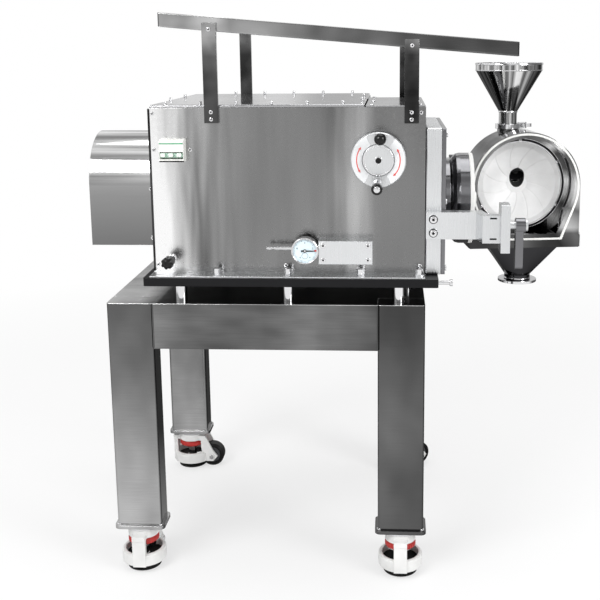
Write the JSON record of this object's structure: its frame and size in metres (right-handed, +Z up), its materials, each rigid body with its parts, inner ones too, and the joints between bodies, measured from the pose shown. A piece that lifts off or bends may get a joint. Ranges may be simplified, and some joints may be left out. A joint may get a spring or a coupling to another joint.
{
  "type": "disc mill",
  "caption": "Disc mill on a caster stand: polished cabinet, motor cover, swing-open grinding chamber with hopper and spout, gap handwheel, dial gauge, latch arm and sloped rails.",
  "frame": {"origin": "bottom centre of the bounding box, on the floor under the casters", "axes": "+Z up, -Y towards the front with the breaker and handwheel, +X towards the grinding chamber"},
  "size_m": [1.133, 0.6756, 1.2284],
  "materials": {
    "stand_steel": "satin welded tube",
    "black_coat": "smooth black",
    "polished_steel": "polished",
    "cabinet_steel": "polished sheet",
    "satin_steel": "satin",
    "motor_grey": "painted casting",
    "cast_grey": "machined casting",
    "dark_steel": "polished dark",
    "white_ceramic": "fine ground",
    "satin_aluminium": "satin",
    "chamber_steel": "polished",
    "white_seal": "smooth",
    "stone_disc": "fine ground",
    "breaker_plastic": "moulded",
    "green_plastic": "moulded",
    "black_plastic": "moulded",
    "dial_blue": "printed dial",
    "caster_white": "cast, white",
    "wheel_black": "moulded nylon",
    "leveller_red": "moulded"
  },
  "bodies": {
    "machine": {"stand_legs": "stand_steel", "foot_plates": "stand_steel", "stand_rails": "stand_steel", "base_plate": "black_coat", "base_posts": "polished_steel", "base_bolts": "polished_steel", "cabinet_shell": "cabinet_steel", "cabinet_flange": "cabinet_steel", "top_lid": "cabinet_steel", "side_top_panel": "cabinet_steel", "motor_cover": "cabinet_steel", "motor": "motor_grey", "bearing_housing": "cast_grey", "adjuster_box": "cast_grey", "end_plate": "satin_aluminium", "guard_plate": "dark_steel", "hinge_bracket": "satin_aluminium", "hinge_pin": "polished_steel", "latch_arm": "satin_aluminium", "latch_post": "satin_aluminium", "uprights": "satin_steel", "sloped_rails": "polished_steel", "rail_ties": "polished_steel", "breaker_body": "breaker_plastic", "gauge_case": "polished_steel", "gauge_face": "dial_blue", "gauge_block": "satin_aluminium"},
    "quill": {"quill": "dark_steel"},
    "rotor": {"spindle": "dark_steel", "rotor_drum": "dark_steel", "rotor_disc": "white_ceramic"},
    "chamber": {"chamber_housing": "chamber_steel", "chamber_gasket": "white_seal", "disc_holder": "chamber_steel", "fixed_disc": "stone_disc", "hopper": "chamber_steel", "hopper_clamp": "polished_steel", "outlet": "chamber_steel", "outlet_flange": "polished_steel"},
    "clamp_lever": {"clamp_lever": "polished_steel"},
    "latch_lever": {"latch_lever": "polished_steel"},
    "handwheel": {"handwheel": "satin_aluminium"},
    "handwheel_ball": {"handwheel_ball": "black_plastic"},
    "handwheel_knob": {"handwheel_knob": "black_plastic"},
    "gauge_needle": {"gauge_needle": "black_coat"},
    "gauge_plunger": {"gauge_plunger": "polished_steel"},
    "breaker_toggles": {"breaker_toggles": "green_plastic"},
    "lock_knob": {"lock_knob": "black_plastic"},
    "caster_fl": {"caster_fl_body": "caster_white"},
    "caster_wheel_fl": {"caster_fl_wheel": "wheel_black"},
    "leveller_fl": {"caster_fl_leveller": "leveller_red"},
    "caster_fr": {"caster_fr_body": "caster_white"},
    "caster_wheel_fr": {"caster_fr_wheel": "wheel_black"},
    "leveller_fr": {"caster_fr_leveller": "leveller_red"},
    "caster_rl": {"caster_rl_body": "caster_white"},
    "caster_wheel_rl": {"caster_rl_wheel": "wheel_black"},
    "leveller_rl": {"caster_rl_leveller": "leveller_red"},
    "caster_rr": {"caster_rr_body": "caster_white"},
    "caster_wheel_rr": {"caster_rr_wheel": "wheel_black"},
    "leveller_rr": {"caster_rr_leveller": "leveller_red"}
  },
  "joints": [
    {"name": "handwheel_turn", "type": "hinge", "parent": "machine", "child": "handwheel", "pos_m": [0.07453, -0.24176, 0.922], "axis": [0, 1, 0], "range_deg": [-360, 360]},
    {"name": "quill_slide", "type": "slide", "parent": "machine", "child": "quill", "axis": [1, 0, 0], "range_m": [-0.001, 0.001]},
    {"name": "rotor_spin", "type": "hinge", "parent": "quill", "child": "rotor", "pos_m": [0.13353, -0.06176, 0.813], "axis": [1, 0, 0], "continuous": true},
    {"name": "gauge_needle_turn", "type": "hinge", "parent": "machine", "child": "gauge_needle", "pos_m": [-0.08097, -0.26376, 0.73], "axis": [0, 1, 0], "range_deg": [-360, 360]},
    {"name": "gauge_plunger_slide", "type": "slide", "parent": "machine", "child": "gauge_plunger", "axis": [1, 0, 0], "range_m": [-0.001, 0.001]},
    {"name": "ball_spin", "type": "hinge", "parent": "handwheel", "child": "handwheel_ball", "pos_m": [0.07853, -0.28176, 0.9686], "axis": [0, 1, 0], "continuous": true},
    {"name": "ring_knob_spin", "type": "hinge", "parent": "handwheel", "child": "handwheel_knob", "pos_m": [0.07253, -0.32676, 0.872], "axis": [0, 1, 0], "continuous": true},
    {"name": "chamber_swing", "type": "hinge", "parent": "machine", "child": "chamber", "pos_m": [0.25253, 0.11224, 0.813], "axis": [0, 0, 1], "range_deg": [-97, 10]},
    {"name": "latch_swing", "type": "hinge", "parent": "machine", "child": "latch_lever", "pos_m": [0.36553, -0.27676, 0.789], "axis": [1, 0, 0], "range_deg": [-20, 90]},
    {"name": "clamp_lever_swing", "type": "hinge", "parent": "chamber", "child": "clamp_lever", "pos_m": [0.43347, 0.21405, 0.956], "axis": [0, 0, 1], "range_deg": [0, 60]},
    {"name": "breaker_flip", "type": "hinge", "parent": "machine", "child": "breaker_toggles", "pos_m": [-0.36297, -0.24076, 0.931], "axis": [1, 0, 0], "range_deg": [0, 30]},
    {"name": "lock_knob_turn", "type": "hinge", "parent": "machine", "child": "lock_knob", "pos_m": [-0.37447, -0.24176, 0.704], "axis": [0, 1, 0], "continuous": true},
    {"name": "caster_swivel_fl", "type": "hinge", "parent": "machine", "child": "caster_fl", "pos_m": [-0.45647, -0.26176, 0.1], "axis": [0, 0, 1], "continuous": true},
    {"name": "caster_roll_fl", "type": "hinge", "parent": "caster_fl", "child": "caster_wheel_fl", "pos_m": [-0.45647, -0.20376, 0.032], "axis": [1, 0, 0], "continuous": true},
    {"name": "leveller_turn_fl", "type": "hinge", "parent": "caster_fl", "child": "leveller_fl", "pos_m": [-0.45647, -0.26176, 0.04], "axis": [0, 0, 1], "continuous": true},
    {"name": "caster_swivel_fr", "type": "hinge", "parent": "machine", "child": "caster_fr", "pos_m": [0.12353, -0.26176, 0.1], "axis": [0, 0, 1], "continuous": true},
    {"name": "caster_roll_fr", "type": "hinge", "parent": "caster_fr", "child": "caster_wheel_fr", "pos_m": [0.12353, -0.20376, 0.032], "axis": [1, 0, 0], "continuous": true},
    {"name": "leveller_turn_fr", "type": "hinge", "parent": "caster_fr", "child": "leveller_fr", "pos_m": [0.12353, -0.26176, 0.04], "axis": [0, 0, 1], "continuous": true},
    {"name": "caster_swivel_rl", "type": "hinge", "parent": "machine", "child": "caster_rl", "pos_m": [-0.45647, 0.27824, 0.1], "axis": [0, 0, 1], "continuous": true},
    {"name": "caster_roll_rl", "type": "hinge", "parent": "caster_rl", "child": "caster_wheel_rl", "pos_m": [-0.39847, 0.27824, 0.032], "axis": [0, -1, 0], "continuous": true},
    {"name": "leveller_turn_rl", "type": "hinge", "parent": "caster_rl", "child": "leveller_rl", "pos_m": [-0.45647, 0.27824, 0.04], "axis": [0, 0, 1], "continuous": true},
    {"name": "caster_swivel_rr", "type": "hinge", "parent": "machine", "child": "caster_rr", "pos_m": [0.12353, 0.27824, 0.1], "axis": [0, 0, 1], "continuous": true},
    {"name": "caster_roll_rr", "type": "hinge", "parent": "caster_rr", "child": "caster_wheel_rr", "pos_m": [0.17376, 0.30724, 0.032], "axis": [0.5, -0.866, 0], "continuous": true},
    {"name": "leveller_turn_rr", "type": "hinge", "parent": "caster_rr", "child": "leveller_rr", "pos_m": [0.12353, 0.27824, 0.04], "axis": [0, 0, 1], "continuous": true}
  ],
  "couplings": [
    {"joint": "handwheel_turn", "follows": "quill_slide", "rad_per_m": 6283.2},
    {"joint": "gauge_plunger_slide", "follows": "quill_slide", "ratio": 1},
    {"joint": "gauge_needle_turn", "follows": "quill_slide", "rad_per_m": 6283.2}
  ]
}
